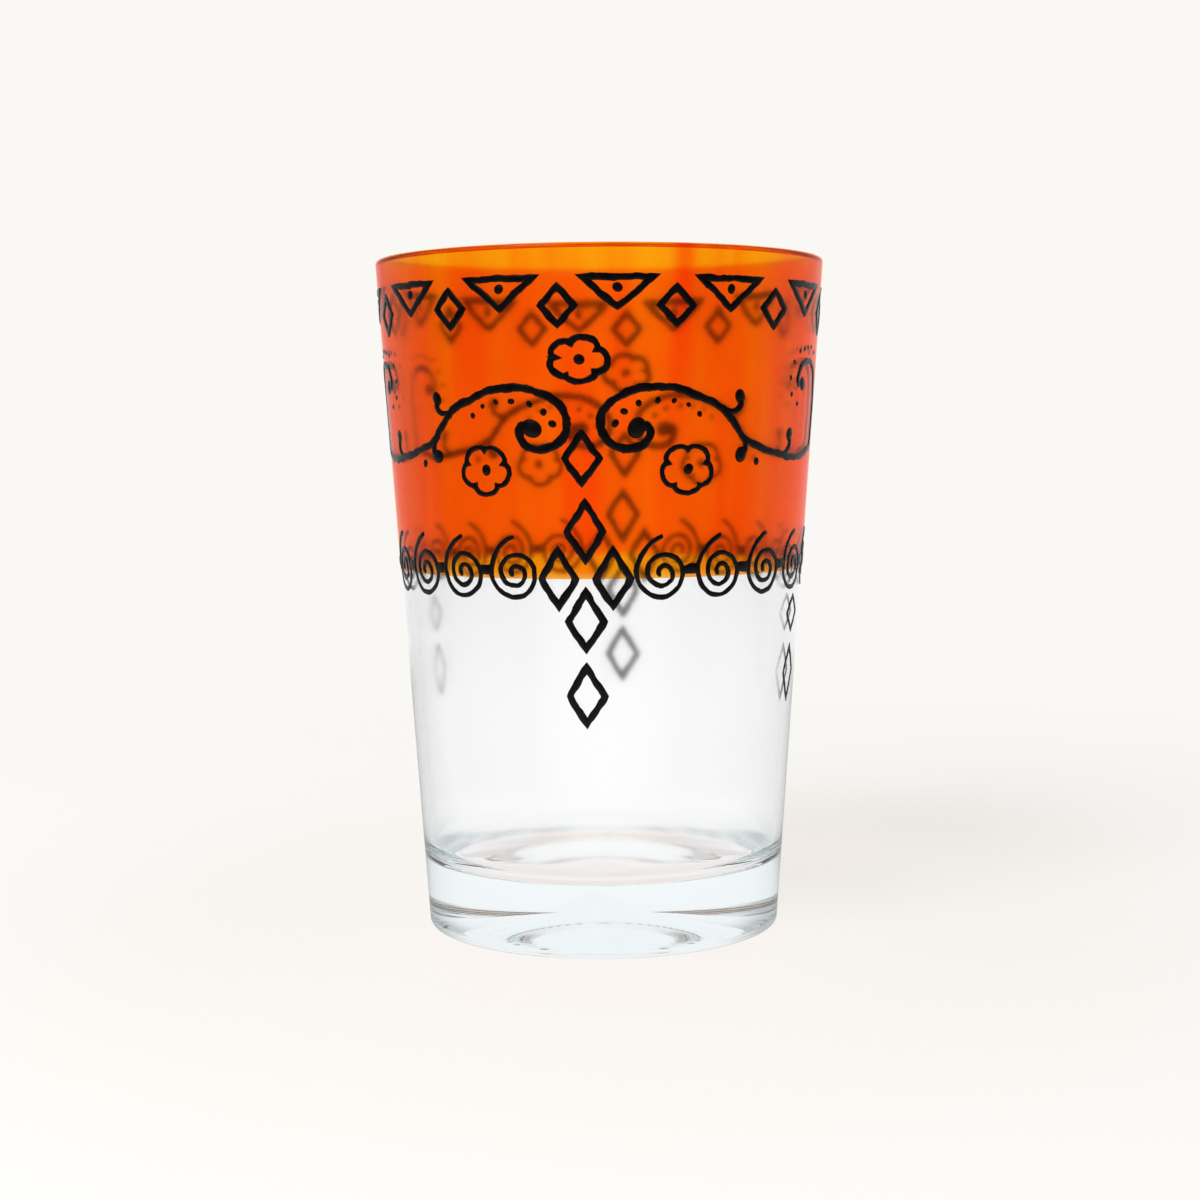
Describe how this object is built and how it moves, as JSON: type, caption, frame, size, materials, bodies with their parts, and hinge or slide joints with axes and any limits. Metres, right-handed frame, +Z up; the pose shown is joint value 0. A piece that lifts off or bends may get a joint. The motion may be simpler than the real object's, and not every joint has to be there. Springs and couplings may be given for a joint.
{
  "type": "tea glass",
  "caption": "Tapered clear glass tumbler with a heavy foot, a translucent orange coat on its upper half and raised black enamel ornament, for drinking hot tea.",
  "frame": {"origin": "middle of the foot's bearing ring, on the surface that the glass stands on", "axes": "+Z up along the glass's axis; the ornament's main column of diamonds faces -Y"},
  "size_m": [0.0602, 0.0602, 0.09],
  "materials": {
    "clear_glass": "fire polished",
    "orange_coat": "glossy translucent lacquer",
    "black_enamel": "fired satin relief"
  },
  "bodies": {
    "root": {"glass_tumbler": "clear_glass", "orange_coat": "orange_coat", "rim_triangles": "black_enamel", "rim_triangle_dots": "black_enamel", "rim_diamonds": "black_enamel", "upper_flowers": "black_enamel", "upper_flower_centres": "black_enamel", "lower_flowers": "black_enamel", "lower_flower_centres": "black_enamel", "leaf_scrolls": "black_enamel", "scroll_dots": "black_enamel", "curl_dots": "black_enamel", "column_diamonds": "black_enamel", "pendant_diamonds": "black_enamel", "waist_chain": "black_enamel"}
  },
  "joints": []
}
